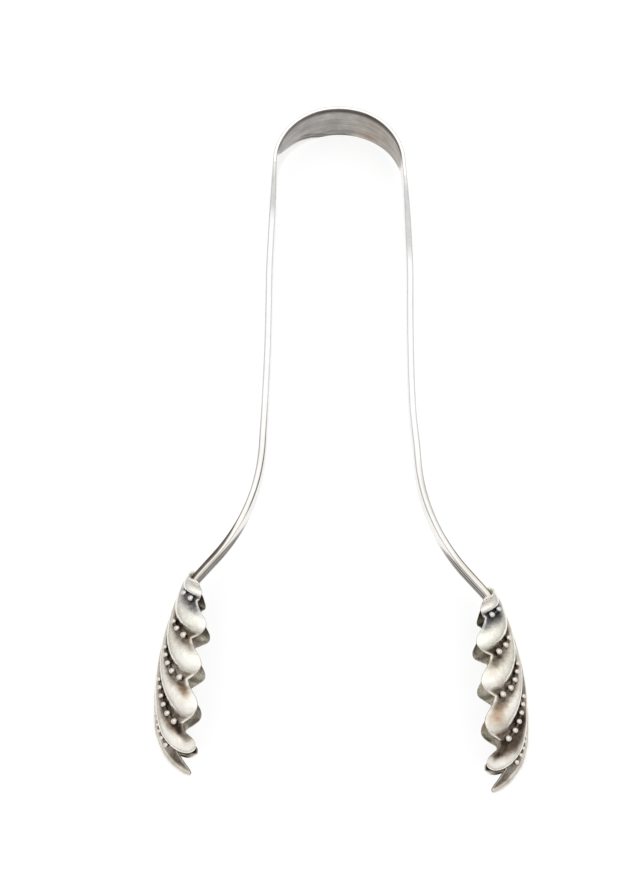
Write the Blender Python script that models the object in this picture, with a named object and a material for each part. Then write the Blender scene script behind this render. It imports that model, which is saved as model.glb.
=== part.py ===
"""Serving tongs: a sprung bow, two flat arms and two fluted shell claws with rows of graduated beads.

Metres, +Z up. The tongs lie on one edge, as on a table, with the bow towards +Y and the claws towards -Y.
Shapes are worked out for one side as outward, along and up, where along counts from the crown of the bow
and up from the middle of the strip, and are then set out to the left (-X) and to the right (+X).
"""

import math

import bmesh
import bpy
import numpy as np

# Bow: one flat strip, bent over its flat side
BAND_WIDTH = 0.0140  # across the crown, where the strip rests on its edge
SHOULDER_WIDTH = 0.0105
CROWN_ANGLE = math.radians(20)  # the strip keeps its full width this far round from the crown
BAND_THICKNESS = 0.0010
BOW_SPAN = 0.0334
BOW_RISE = 0.0142
BOW_LEG = 0.0010
BEND_OFFSET = 0.0040  # the strip is bent off its middle, so its right leg is this much longer

# Bow and arms were bent by hand: how far each side lies towards +X of an even shape, by distance from the crown
DRIFT_MARKS = (0.0, 0.006, 0.012, 0.016, 0.022, 0.028, 0.044, 0.054, 0.064, 0.074, 0.084, 0.092, 0.110)
LEFT_DRIFTS = (-0.5, -0.45, -0.6, -0.9, -1.0, -1.0, -1.0, -0.65, -0.35, -0.25, -0.25, -0.35, 0.0)  # millimetres
RIGHT_DRIFTS = (-0.5, -0.65, -0.35, 0.0, 0.45, 0.6, 0.55, 0.0, -0.4, -0.7, -0.75, -0.15, 0.0)
DRIFT_BLEND = 0.004  # the drift is averaged over this distance either way

# Arms: flat strips that carry on the bow's narrowing, run down and flare out to the claws
ARM_WIDTH = 0.0070
ARM_THICKNESS = 0.0017
TAPER_LENGTH = 0.0180
END_WIDTH = 0.0060  # the arm thins a little along its flare
END_THICKNESS = 0.0014
SPLAY_LENGTH = 0.0100
SPLAY_ANGLE = math.radians(2.15)
STRAIGHT_LENGTH = 0.0654
FLARE_RADIUS = 0.0465
FLARE_ANGLE = math.radians(38.8)
STEM_LENGTH = 0.0061
TONGUE_LENGTH = 0.0060  # how far the arm reaches into the shell
TONGUE_WIDTH = 0.0046
EDGE_CHAMFER = 0.00025

# Claws: cups of thin sheet, raised along a hooked spine of three arcs, each with its radius and turn
SPINE_ARCS = ((0.0105, math.radians(16.5)), (0.06475, math.radians(30.0)), (0.0126, math.radians(58.7)))
SHEET_THICKNESS = 0.0007
CUP_DEPTH = 0.0094
CUP_HALF_WIDTH = 0.0048
MOUTH_DEPTH = 0.0043
MOUTH_MARGIN = 0.0017  # how much wider the mouth is than the arm, on each side
MOUTH_SQUARENESS = 0.30  # 1 is a round section, less is a boxy one that hugs the arm
MOUTH_WRAP = 0.75  # how far the mouth's flutes begin round the cup's side
MOUTH_REACH = 0.97  # how far the mouth's own edge reaches round it
MOUTH_STATION = 0.045  # stations are shares of the spine's length, from the stem to the tip
MOUTH_RAKE = 0.050  # how much further up the arm the mouth reaches at its back
CUP_STATION = 0.50
TIP_OVERRUN = 0.003  # keeps the section open at the very tip

# Flutes: a middle one along the spine and five each side, which fan out of the mouth and end in lobes
FLUTE_HEIGHT = 0.0014
FLUTE_SHARE = 0.72  # the rest of the pitch is the valley's floor
FLUTE_ROUNDNESS = 0.80
FLUTE_ONSET = 0.10  # the mouth has a plain collar before the flutes rise
FLUTE_CREST = 0.13  # how far each side flute's crest lies off its middle, towards the tip
FLUTE_LEAN = 0.14
VALLEY_STATIONS = (0.895, 0.770, 0.545, 0.330, 0.140)  # where each valley reaches the rim, tip first
VALLEY_REACHES = (0.50, 0.83, 0.83, 0.80, 0.88)  # 1 is the full way round the cup's side
VALLEY_LAGS = (1.10, 1.05, 1.0, 1.0, 1.0)  # above 1 the valley stays by the spine for longer
LOBE_REACHES = (0.50, 0.21, 0.20, 0.18, 0.05)  # how far each lobe stands out past its valleys
LOBE_SKEWS = (2.2, 1.5, 1.5, 1.5, 1.5)  # above 1 the lobe's crest lies nearer the tip
LOBE_LEANS = (0.090, 0.0, 0.0, 0.0, 0.0)  # how far each lobe hangs towards the tip, in stations
LOBE_ONSET = 3.0  # the higher, the nearer to the rim a lobe begins to stand out
TONGUE_POINT = 7.0  # sharpness of the middle flute's end

# Beads: graduated wire soldered into each valley, largest at the rim
BEAD_LARGE = (0.0012, 0.0016, 0.0016, 0.0016, 0.00144)  # a bead's size at the rim, from the row nearest the tip
BEAD_SMALL = (0.00058, 0.0011, 0.0011, 0.0011, 0.00099)  # and at the other end of its row
BEAD_PITCH = 1.70  # spacing in diameters
BEAD_NECK = 0.40  # wire between the beads, as a share of their size
BEAD_STARTS = (0.50, 0.46, 0.44, 0.44, 0.40)  # where each row runs from and to, as shares of its valley
BEAD_ENDS = (0.81, 0.91, 0.94, 0.92, 0.92)
BEAD_LIFTS = (0.0002, 0.0, 0.0, 0.0, 0.0)  # the narrow valley by the tip holds its wire higher off its floor

# Fits and facets
SOLDER_GAP = 0.0003
BOW_STEPS = 40
ARM_STEPS = (8, 4, 12, 14)  # along the taper, the straight, the flare and the end inside the shell
MIDDLE_FLUTE_STEPS = (0.0, 0.13, 0.25, 0.36)
FLUTE_STEPS = (-0.50, -0.36, -0.25, -0.13, 0.11, 0.36)
COLLAR_ROWS = 3
SHELL_ROWS = 11
SMOOTH_ANGLE = math.radians(40)

SILVER = (0.83, 0.81, 0.76, 1.0)
TARNISHED_SILVER = (0.62, 0.58, 0.52, 1.0)

# Values that follow from the sizes above
LEFT, RIGHT = -1, 1
SIDE_NAMES = {LEFT: "left", RIGHT: "right"}
FLUTES_A_SIDE = len(VALLEY_STATIONS)
FAN_EDGE = FLUTES_A_SIDE + 0.5
SHOULDER = (BOW_SPAN / 2 - BAND_THICKNESS / 2, -BOW_RISE - BOW_LEG)
ARM_RUNS = (
    (SPLAY_LENGTH, SPLAY_ANGLE),
    (STRAIGHT_LENGTH, 0.0),
    (FLARE_RADIUS * FLARE_ANGLE, FLARE_ANGLE),
    (STEM_LENGTH, 0.0),
)
SPINE_RUNS = tuple((radius * turn, -turn) for radius, turn in SPINE_ARCS)
FLARE_DISTANCE = SPLAY_LENGTH + STRAIGHT_LENGTH
ARM_LENGTH = sum(length for length, turn in ARM_RUNS)
SPINE_LENGTH = sum(length for length, turn in SPINE_RUNS)
MOUTH_DISTANCE = ARM_LENGTH + MOUTH_STATION * SPINE_LENGTH


def follow(distance):
    """Outward and along of the arm's and spine's middle line, and its heading from straight down."""
    distance = np.asarray(distance, float)
    runs = ARM_RUNS + SPINE_RUNS
    (outward, along), heading, passed = SHOULDER, 0.0, 0.0
    found = np.zeros(distance.shape + (3,))
    for number, (length, turn) in enumerate(runs):
        ahead = distance - passed
        if number < len(runs) - 1:
            ahead = np.minimum(ahead, length)
        bend = turn / length
        here = heading + bend * ahead
        if turn:
            there = (
                outward + (math.cos(heading) - np.cos(here)) / bend,
                along - (np.sin(here) - math.sin(heading)) / bend,
                here,
            )
        else:
            there = outward + math.sin(heading) * ahead, along - math.cos(heading) * ahead, here
        reached = (ahead >= 0)[..., None] | (number == 0)
        found = np.where(reached, np.stack(there, -1), found)
        end = heading + turn
        if turn:
            outward += (math.cos(heading) - math.cos(end)) / bend
            along -= (math.sin(end) - math.sin(heading)) / bend
        else:
            outward += math.sin(heading) * length
            along -= math.cos(heading) * length
        heading = end
        passed += length
    return found[..., 0], found[..., 1], found[..., 2]


def strip_rings(outward, along, normal_out, normal_along, thickness, width):
    """Rings of eight points, a rectangle with cut corners, across a strip's middle line."""
    across = np.array([1, 1, 1, 1, -1, -1, -1, -1])
    up = np.array([-1, -1, 1, 1, 1, 1, -1, -1])
    cut_across = np.array([1, 0, 0, 1, 1, 0, 0, 1])
    cut_up = 1 - cut_across
    off = across * (thickness[:, None] / 2 - EDGE_CHAMFER * cut_across)
    high = up * (width[:, None] / 2 - EDGE_CHAMFER * cut_up)
    return np.stack(
        [outward[:, None] + normal_out[:, None] * off, along[:, None] + normal_along[:, None] * off, high], -1
    )


def bow_rings():
    """Half an ellipse between two straight legs, given from the left leg's end to the right leg's."""
    half_span = BOW_SPAN / 2 - BAND_THICKNESS / 2
    rise = BOW_RISE - BAND_THICKNESS / 2
    turn = np.linspace(math.pi, 0.0, BOW_STEPS + 1)
    outward = np.r_[-half_span, half_span * np.cos(turn), half_span]
    arc = -BOW_RISE + rise * np.sin(turn)
    along = np.r_[arc[0] - BOW_LEG, arc, arc[-1] - BOW_LEG - BEND_OFFSET]
    slope_out = np.r_[-1.0, np.cos(turn) / half_span, 1.0]
    slope_along = np.r_[0.0, np.sin(turn) / rise, 0.0]
    size = np.hypot(slope_out, slope_along)
    full = np.ones(len(outward))
    from_crown = np.r_[math.pi / 2, np.abs(turn - math.pi / 2), math.pi / 2]
    narrowing = np.clip((from_crown - CROWN_ANGLE) / (math.pi / 2 - CROWN_ANGLE), 0, 1) ** 1.5
    width = BAND_WIDTH + (SHOULDER_WIDTH - BAND_WIDTH) * narrowing
    return strip_rings(outward, along, slope_out / size, slope_along / size, BAND_THICKNESS * full, width)


def arm_rings():
    """The arm from the bow's leg to the end of its tongue inside the shell."""
    end = MOUTH_DISTANCE + TONGUE_LENGTH
    marks = SOLDER_GAP, TAPER_LENGTH, FLARE_DISTANCE, ARM_LENGTH - STEM_LENGTH, end
    lengths = [np.linspace(low, high, steps + 1) for low, high, steps in zip(marks, marks[1:], ARM_STEPS)]
    distance = np.unique(np.concatenate(lengths))
    outward, along, heading = follow(distance)
    taper = np.clip(1 - distance / TAPER_LENGTH, 0, 1) ** 2
    tongue = np.clip((distance - MOUTH_DISTANCE) / TONGUE_LENGTH, 0, 1)
    flare = np.clip((distance - FLARE_DISTANCE) / (MOUTH_DISTANCE - FLARE_DISTANCE), 0, 1)
    thickness = ARM_THICKNESS + (BAND_THICKNESS - ARM_THICKNESS) * taper
    thickness += (END_THICKNESS - ARM_THICKNESS) * flare
    width = ARM_WIDTH + (SHOULDER_WIDTH - ARM_WIDTH) * taper + (END_WIDTH - ARM_WIDTH) * flare
    width += (TONGUE_WIDTH - END_WIDTH) * tongue
    return strip_rings(outward, along, np.cos(heading), np.sin(heading), thickness, width)


def cup_section(station):
    """Depth, half width and squareness of the plain cup at a station of its spine."""
    station = np.clip(station, 0, 1)
    before = np.clip((CUP_STATION - station) / (CUP_STATION - MOUTH_STATION), 0, 1)
    after = np.clip((station - CUP_STATION) / (1 + TIP_OVERRUN - CUP_STATION), 0, 1)
    swell = np.sqrt(1 - before**2)
    close = np.sqrt(1 - after**2)
    depth = (MOUTH_DEPTH + (CUP_DEPTH - MOUTH_DEPTH) * swell) * close
    mouth_half_width = END_WIDTH / 2 + MOUTH_MARGIN
    half_width = (mouth_half_width + (CUP_HALF_WIDTH - mouth_half_width) * swell) * close
    squareness = 1 - (1 - MOUTH_SQUARENESS) * np.clip(before * 2 - 1, 0, 1)
    return depth, half_width, squareness


def cup_point(station, reach):
    """The plain cup's inner face, where reach runs from 0 at the spine to 1 a quarter turn up its side."""
    outward, along, heading = follow(ARM_LENGTH + station * SPINE_LENGTH)
    depth, half_width, squareness = cup_section(station)
    angle = np.clip(np.abs(reach), 0, 1) * math.pi / 2
    past = np.clip(np.abs(reach) - 1, 0, None) * math.pi / 2
    inset = depth * (1 - np.cos(angle) ** squareness + past)
    lift = END_THICKNESS / 2 + SOLDER_GAP - inset
    up = np.sign(reach) * half_width * np.sin(angle) ** squareness
    return np.stack([outward + np.cos(heading) * lift, along + np.sin(heading) * lift, up], -1)


def cup_normal(station, reach):
    """The plain cup's outward direction, from small steps along and round it."""
    step = 1e-3
    down = cup_point(station + step, reach) - cup_point(station - step, reach)
    round_it = cup_point(station, reach + step) - cup_point(station, reach - step)
    normal = np.cross(round_it, down)
    return normal / np.linalg.norm(normal, axis=-1, keepdims=True)


def fan_place(run, line):
    """Station and reach of a point part way, run, from the mouth to the rim on a line of the fan.

    Whole lines are the tops of the flutes, 0 the middle one, and the halves between them are the valleys.
    """
    place = np.abs(line)
    flute = np.clip(np.round(place), 0, FLUTES_A_SIDE).astype(int)
    marks = np.r_[0.0, np.arange(FLUTES_A_SIDE) + 0.5, FAN_EDGE]
    rim_station = np.interp(place, marks, (1.0, *VALLEY_STATIONS, MOUTH_STATION))
    tip_share = 1 - np.clip(2 * place, 0, 1) ** TONGUE_POINT
    tongue = VALLEY_STATIONS[0] + (1 - VALLEY_STATIONS[0]) * tip_share
    across = np.clip(flute + 0.5 - place, 0, 1)
    lobe = np.sin(math.pi * across ** np.array((1.0, *LOBE_SKEWS))[flute])
    lean = np.array((0.0, *LOBE_LEANS))[flute] * lobe
    rim_station = np.where(flute == 0, tongue, rim_station + lean)
    rim_reach = np.interp(place, marks, (0.0, *VALLEY_REACHES, MOUTH_REACH))
    mouth_reach = MOUTH_WRAP * np.arcsin((place / FAN_EDGE) ** (1 / MOUTH_SQUARENESS)) * 2 / math.pi
    angle = run * math.pi / 2
    spread = (1 - FLUTE_LEAN) * (1 - np.cos(angle)) + FLUTE_LEAN * np.sin(angle)
    mouth_station = MOUTH_STATION - MOUTH_RAKE * (1 - (place / FAN_EDGE) ** 2)
    station = mouth_station + (rim_station - mouth_station) * np.sin(angle)
    lag = np.interp(place, marks, (VALLEY_LAGS[0], *VALLEY_LAGS, VALLEY_LAGS[-1]))
    reach = mouth_reach * (1 - spread) + rim_reach * spread**lag
    reach += np.array((0.0, *LOBE_REACHES))[flute] * lobe * spread**LOBE_ONSET
    return station, np.sign(line) * reach


def flute_profile(line):
    """Height of the flutes across the fan, 0 on the floors of the valleys and 1 on the crests."""
    place = np.abs(line)
    flute = np.clip(np.round(place), 0, FLUTES_A_SIDE)
    crest = np.where(flute > 0, -FLUTE_CREST, 0.0)
    off = place - flute - crest
    share = np.clip(np.abs(off) / (FLUTE_SHARE / 2 - np.sign(off) * crest), 0, 1)
    return np.cos(share * math.pi / 2) ** FLUTE_ROUNDNESS


def shell_point(run, line, lift=0.0):
    """The sheet's outer face, fluted, with lift above it along the plain cup's outward direction."""
    station, reach = fan_place(run, line)
    depth, half_width, squareness = cup_section(station)
    rise = np.clip((run - FLUTE_ONSET) / (1 - FLUTE_ONSET), 0, 1) ** FLUTE_ROUNDNESS
    growth = rise * np.sqrt(half_width / CUP_HALF_WIDTH)
    height = SHEET_THICKNESS + FLUTE_HEIGHT * growth * flute_profile(line) + lift
    return cup_point(station, reach) + cup_normal(station, reach) * height[..., None]


def shell_grid():
    """The outer face as rows from the mouth to the rim, each crossing the fan from edge to edge."""
    side_flutes = np.arange(1, FLUTES_A_SIDE + 1)[:, None] + np.array(FLUTE_STEPS)
    half = np.r_[MIDDLE_FLUTE_STEPS, side_flutes.ravel(), FAN_EDGE]
    lines = np.r_[-half[:0:-1], half]
    runs = np.r_[np.linspace(0, FLUTE_ONSET, COLLAR_ROWS + 1)[:-1], np.linspace(FLUTE_ONSET, 1, SHELL_ROWS + 1)]
    return shell_point(*np.meshgrid(runs, lines, indexing="ij"))


def bead_row(line):
    """Points and radii of the beaded wire in one valley, marched from the rim towards the mouth."""
    valley = int(abs(line))
    runs = np.linspace(BEAD_ENDS[valley], BEAD_STARTS[valley], 200)
    sizes = np.linspace(BEAD_LARGE[valley], BEAD_SMALL[valley], 200)
    wire = shell_point(runs, np.full(runs.shape, line), SOLDER_GAP + BEAD_LIFTS[valley] + sizes / 2)
    gone = np.r_[0, np.cumsum(np.linalg.norm(np.diff(wire, axis=0), axis=1))]
    places, radii, at, size = [], [], 0.0, sizes[0]
    while at + size < gone[-1]:
        for step, share in ((-0.45, BEAD_NECK), (-0.22, 0.9), (0.22, 0.9), (0.45, BEAD_NECK)):
            places.append(at + (step + 0.45) * size)
            radii.append(share * size / 2)
        at += BEAD_PITCH * size
        size = np.interp(at, gone, sizes)
    return np.stack([np.interp(places, gone, wire[:, k]) for k in range(3)], -1), radii


HALF_LENGTH = (BEND_OFFSET - shell_grid()[..., 1].min()) / 2


def drift(down):
    """How far the left and the right side lie towards +X of an even shape, at a distance from the crown."""
    spread = np.linspace(-DRIFT_BLEND, DRIFT_BLEND, 9)
    return [
        np.mean([np.interp(np.abs(down + step), DRIFT_MARKS, table) for step in spread], axis=0) / 1000
        for table in (LEFT_DRIFTS, RIGHT_DRIFTS)
    ]


def set_out(points, side):
    """Part coordinates of points that are given as outward, along and up."""
    drop = BEND_OFFSET if side == RIGHT else 0.0
    x = side * points[..., 0]
    left, right = drift(drop - points[..., 1])
    x = x + np.where(x < 0, left, right)
    y = points[..., 1] - drop + HALF_LENGTH
    return np.stack([x, y, points[..., 2] + BAND_WIDTH / 2], -1)


def pivot_place(side):
    """The bow's half flexes as if hinged at the middle of its arc's weight, as a curved spring does."""
    share = 2 / math.pi
    rise = BOW_RISE - BAND_THICKNESS / 2
    y = HALF_LENGTH - BOW_RISE + share * rise
    return side * share * (BOW_SPAN - BAND_THICKNESS) / 2, y, BAND_WIDTH / 2


def metal(name, colour, roughness):
    finish = bpy.data.materials.new(name)
    finish.use_nodes = True
    shader = finish.node_tree.nodes["Principled BSDF"]
    shader.inputs["Base Color"].default_value = colour
    shader.inputs["Metallic"].default_value = 1.0
    shader.inputs["Roughness"].default_value = roughness
    return finish


def add_object(name, data, finish, pivot):
    node = bpy.data.objects.new(name, data)
    data.materials.append(finish)
    bpy.context.collection.objects.link(node)
    node.parent = pivot
    return node


def mesh_from(shape, name):
    """Turns a finished bmesh into a mesh that faces out and is smooth but for its hard edges."""
    bmesh.ops.recalc_face_normals(shape, faces=shape.faces)
    mesh = bpy.data.meshes.new(name)
    shape.to_mesh(mesh)
    shape.free()
    mesh.shade_smooth()
    mesh.set_sharp_from_angle(angle=SMOOTH_ANGLE)
    return mesh


def strip_mesh(name, rings):
    """Bridges the rings of a strip and closes its two ends."""
    shape = bmesh.new()
    loops = [[shape.verts.new(point) for point in ring] for ring in rings]
    for ring, following in zip(loops, loops[1:]):
        for corner in range(len(ring)):
            after = (corner + 1) % len(ring)
            shape.faces.new((ring[corner], ring[after], following[after], following[corner]))
    shape.faces.new(loops[0])
    shape.faces.new(loops[-1])
    return mesh_from(shape, name)


def add_bow(finish):
    add_object("spring_bow", strip_mesh("spring_bow", set_out(bow_rings() * (-1, 1, 1), LEFT)), finish, None)


def add_arm(side, pivot, finish):
    name = SIDE_NAMES[side] + "_arm"
    rings = set_out(arm_rings(), side) - np.array(pivot.location)
    add_object(name, strip_mesh(name, rings), finish, pivot)


def add_shell(side, pivot, finish):
    """The sheet's outer face, thickened inwards."""
    name = SIDE_NAMES[side] + "_shell_claw"
    grid = set_out(shell_grid(), side) - np.array(pivot.location)
    shape = bmesh.new()
    rows = [[shape.verts.new(point) for point in row] for row in grid]
    for row, following in zip(rows, rows[1:]):
        for corner in range(len(row) - 1):
            quad = row[corner], row[corner + 1], following[corner + 1], following[corner]
            shape.faces.new(quad if side == RIGHT else quad[::-1])
    mesh = bpy.data.meshes.new(name)
    shape.to_mesh(mesh)
    shape.free()
    mesh.shade_smooth()
    sheet = add_object(name, mesh, finish, pivot).modifiers.new("sheet", "SOLIDIFY")
    sheet.thickness = SHEET_THICKNESS
    sheet.offset = -1


def add_bead_row(side, face, valley, pivot, finish):
    """A wire of round beads on thin necks, as a curve whose radius swells at each bead."""
    facing = "upper" if face > 0 else "lower"
    name = f"{SIDE_NAMES[side]}_{facing}_bead_row_{valley + 1}"
    points, radii = bead_row(face * (valley + 0.5))
    places = set_out(points, side) - np.array(pivot.location)
    wire = bpy.data.curves.new(name, "CURVE")
    wire.dimensions = "3D"
    wire.bevel_depth = 1.0
    wire.bevel_resolution = 1
    wire.use_fill_caps = True
    spline = wire.splines.new("POLY")
    spline.points.add(len(places) - 1)
    for point, place, radius in zip(spline.points, places, radii):
        point.co = (*place, 1.0)
        point.radius = radius
    spline.use_smooth = True
    add_object(name, wire, finish, pivot)


def add_pivot(side):
    """An empty on the axis about which a whole arm and its claw close."""
    pivot = bpy.data.objects.new(SIDE_NAMES[side] + "_arm_pivot", None)
    pivot.location = pivot_place(side)
    bpy.context.collection.objects.link(pivot)
    return pivot


def main():
    for old in list(bpy.data.objects):
        bpy.data.objects.remove(old, do_unlink=True)
    bow_finish = metal("bow_silver", SILVER, 0.26)
    arm_finish = metal("arm_silver", SILVER, 0.20)
    shell_finish = metal("shell_silver", TARNISHED_SILVER, 0.24)
    bead_finish = metal("bead_silver", SILVER, 0.18)
    add_bow(bow_finish)
    for side in (LEFT, RIGHT):
        pivot = add_pivot(side)
        add_arm(side, pivot, arm_finish)
        add_shell(side, pivot, shell_finish)
        for valley in range(FLUTES_A_SIDE):
            for face in (1, -1):
                add_bead_row(side, face, valley, pivot, bead_finish)


main()
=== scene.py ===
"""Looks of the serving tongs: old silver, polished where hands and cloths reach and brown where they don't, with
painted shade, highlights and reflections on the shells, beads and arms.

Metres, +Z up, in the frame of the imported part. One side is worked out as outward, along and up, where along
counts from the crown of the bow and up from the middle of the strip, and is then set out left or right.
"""

import math

import bpy
import numpy as np
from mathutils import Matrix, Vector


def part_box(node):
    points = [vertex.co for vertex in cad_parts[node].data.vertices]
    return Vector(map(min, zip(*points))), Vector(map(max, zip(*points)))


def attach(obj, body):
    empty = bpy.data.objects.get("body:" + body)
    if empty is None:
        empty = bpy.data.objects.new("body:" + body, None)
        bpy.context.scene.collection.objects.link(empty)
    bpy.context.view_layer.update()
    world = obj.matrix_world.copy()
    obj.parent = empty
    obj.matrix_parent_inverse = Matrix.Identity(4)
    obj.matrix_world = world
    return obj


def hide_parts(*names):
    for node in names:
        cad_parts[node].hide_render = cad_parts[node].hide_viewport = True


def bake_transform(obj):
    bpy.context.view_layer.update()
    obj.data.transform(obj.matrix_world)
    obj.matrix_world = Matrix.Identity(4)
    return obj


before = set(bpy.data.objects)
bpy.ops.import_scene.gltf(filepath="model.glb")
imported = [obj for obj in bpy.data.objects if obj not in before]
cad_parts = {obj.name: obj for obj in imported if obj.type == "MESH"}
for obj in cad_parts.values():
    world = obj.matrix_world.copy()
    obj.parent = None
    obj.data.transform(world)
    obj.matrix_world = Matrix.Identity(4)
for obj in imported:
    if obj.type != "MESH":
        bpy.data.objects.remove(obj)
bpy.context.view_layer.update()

# Bow and arms
BAND_WIDTH, SHOULDER_WIDTH, CROWN_ANGLE, BAND_THICKNESS = 0.0140, 0.0105, math.radians(20), 0.0010
BOW_SPAN, BOW_RISE, BOW_LEG, BEND_OFFSET = 0.0334, 0.0142, 0.0010, 0.0040
ARM_WIDTH, ARM_THICKNESS, TAPER_LENGTH = 0.0070, 0.0017, 0.0180
END_WIDTH, END_THICKNESS = 0.0060, 0.0014
TONGUE_LENGTH, TONGUE_WIDTH = 0.0060, 0.0046
BOW_ROUND, ARM_ROUND = 0.00034, 0.00048
DRIFT_MARKS = (0.0, 0.006, 0.012, 0.016, 0.022, 0.028, 0.044, 0.054, 0.064, 0.074, 0.084, 0.092, 0.110)
LEFT_DRIFTS = (-0.5, -0.45, -0.6, -0.9, -1.0, -1.0, -1.0, -0.65, -0.35, -0.25, -0.25, -0.35, 0.0)
RIGHT_DRIFTS = (-0.5, -0.65, -0.35, 0.0, 0.45, 0.6, 0.55, 0.0, -0.4, -0.7, -0.75, -0.15, 0.0)
DRIFT_BLEND, DRIFT_SAMPLES, MILLIMETRES = 0.004, 9, 1000
BOW_NARROWING = 1.5
BORDER_MARKS = (
    -0.0240, -0.0215, -0.0195, -0.0172, -0.0150, -0.0128, -0.0104, -0.0080, -0.0055, -0.0030, 0.0200, 0.0232, 0.0262,
)
BORDER_HEIGHTS = (
    0.0118, 0.0088, 0.0064, 0.0046, 0.0037, 0.0031, 0.0024, 0.0015, 0.0003, -0.0010, -0.0010, 0.0040, 0.0105,
)
SHOULDER = (BOW_SPAN / 2 - BAND_THICKNESS / 2, -BOW_RISE - BOW_LEG)

# How finely each surface is divided
FACE_POINTS, EDGE_POINTS, CORNER_POINTS = 29, 7, 8
BOW_ROWS, LEG_ROWS, ARM_ROWS = 97, 13, 261
FLUTE_COLUMNS, SHELL_ROWS = 24, 97
WIRE_POINTS, BEAD_RINGS, BEAD_CORNERS = 300, 15, 18
SHARP_ANGLE = math.radians(55)

# Runs of the arm and of the claw's spine, each a length and a turn
ARM_RUNS = (
    (0.0100, math.radians(2.15)),
    (0.0654, 0.0),
    (0.0465 * math.radians(38.8), math.radians(38.8)),
    (0.0061, 0.0),
)
SPINE_ARCS = ((0.0105, math.radians(16.5)), (0.06475, math.radians(30.0)), (0.0126, math.radians(58.7)))
SPINE_RUNS = tuple((radius * turn, -turn) for radius, turn in SPINE_ARCS)
FLARE_DISTANCE = sum(length for length, turn in ARM_RUNS[:2])
ARM_LENGTH = sum(length for length, turn in ARM_RUNS)
SPINE_LENGTH = sum(length for length, turn in SPINE_RUNS)

# Shell claws
SHEET_THICKNESS = 0.0007
CUP_DEPTH, CUP_HALF_WIDTH, CUP_STATION = 0.0094, 0.0048, 0.50
MOUTH_DEPTH, MOUTH_HALF_WIDTH, MOUTH_STATION, MOUTH_RAKE = 0.0043, 0.0047, 0.045, 0.050
MOUTH_SQUARENESS, MOUTH_WRAP, MOUTH_REACH = 0.30, 0.75, 0.97
TIP_OVERRUN = 0.003
SOLDER_GAP = 0.0003
FLUTE_HEIGHT, FLUTE_SHARE, FLUTE_ROUNDNESS = 0.0014, 0.72, 0.80
FLUTE_ONSET, FLUTE_CREST, FLUTE_LEAN = 0.10, 0.13, 0.14
VALLEY_STATIONS = (0.895, 0.770, 0.545, 0.330, 0.140)
VALLEY_REACHES = (0.50, 0.83, 0.83, 0.80, 0.88)
VALLEY_LAGS = (1.10, 1.05, 1.0, 1.0, 1.0)
LOBE_REACHES = np.array((0.0, 0.50, 0.21, 0.20, 0.18, 0.05))
LOBE_SKEWS = np.array((1.0, 2.2, 1.5, 1.5, 1.5, 1.5))
LOBE_LEANS = np.array((0.0, 0.090, 0.0, 0.0, 0.0, 0.0))
LOBE_ONSET, TONGUE_POINT = 3.0, 7.0
RIM_BULGE = 0.25  # how far the rounded rim stands out, as a share of the sheet
FAN_GRAIN = (0.0035, 0.040)  # width of a flute and length of the fan, for the noise
FLUTES_A_SIDE = len(VALLEY_STATIONS)
FAN_EDGE = FLUTES_A_SIDE + 0.5
MOUTH_DISTANCE = ARM_LENGTH + MOUTH_STATION * SPINE_LENGTH

# Beaded wires
BEAD_PITCH, BEAD_NECK = 1.70, 0.40
BEAD_LARGE = (0.0012, 0.0016, 0.0016, 0.0016, 0.00144)
BEAD_SMALL = (0.00058, 0.0011, 0.0011, 0.0011, 0.00099)
BEAD_STARTS = (0.50, 0.46, 0.44, 0.44, 0.40)
BEAD_ENDS = (0.81, 0.91, 0.94, 0.92, 0.92)
BEAD_SINK = 0.00012
BEAD_OFFSET, BEAD_END, WIRE_RUN_ON = 0.45, 0.3, 0.08

LEFT, RIGHT = -1, 1
SIDE_NAMES = {LEFT: "left", RIGHT: "right"}
# Rusty stains on the claws: share, flute, width in flutes, run from mouth to rim, length in runs
STAINS = {
    LEFT: ((0.9, 2.22, 0.16, 0.90, 0.05), (0.25, 1.35, 0.15, 0.82, 0.10), (0.4, 3.40, 0.12, 0.93, 0.05)),
    RIGHT: ((1.0, 2.05, 0.24, 0.90, 0.08), (0.08, 1.25, 0.22, 0.88, 0.10), (0.3, 3.10, 0.20, 0.90, 0.06)),
}
# Tarnish and painted reflections of each arm: where the grey taper ends, where the inner face and the foot darken, and
# how dark the lines are
ARM_LOOKS = {
    LEFT: {
        "taper_end": 0.017, "inner_growth": (0.088, 0.108), "foot": (0.089, 0.101),
        "near_line": 0.50, "far_line": 0.32, "far_gain": 1.0, "edge_tone": 0.64, "soft_edge": 0.0,
        "tone": 0.62, "relief": 0.14, "pitch": 0.0021,
    },
    RIGHT: {
        "taper_end": 0.024, "inner_growth": (0.092, 0.105), "foot": (0.093, 0.104),
        "near_line": 0.20, "far_line": 0.16, "far_gain": 3.6, "edge_tone": 0.10, "soft_edge": 0.20,
        "tone": 0.78, "relief": 0.52, "pitch": 0.0019,
    },
}
# Tarnish and painted shade of each shell: on the flute next to the tip, by the arm, and the green cast of the outer
# face
SHELL_LOOKS = {
    LEFT: {"tip_onset": 0.0, "tip_share": 0.85, "by_arm": 0.74, "green": 0.2},
    RIGHT: {"tip_onset": -0.14, "tip_share": 1.0, "by_arm": 0.86, "green": 0.45},
}

# Colours from polished to black, by depth of tarnish and of painted shade
TARNISH_AND_SHADE_STOPS = (
    (0.22, (0.72, 0.67, 0.58)), (0.48, (0.34, 0.295, 0.255)),
    (0.72, (0.135, 0.105, 0.080)), (1.0, (0.035, 0.026, 0.020)),
)
RUST, OLIVE, TARNISHED_ROUGHNESS = (0.36, 0.19, 0.085, 1.0), (0.93, 0.95, 0.84, 1.0), 0.52

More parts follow.
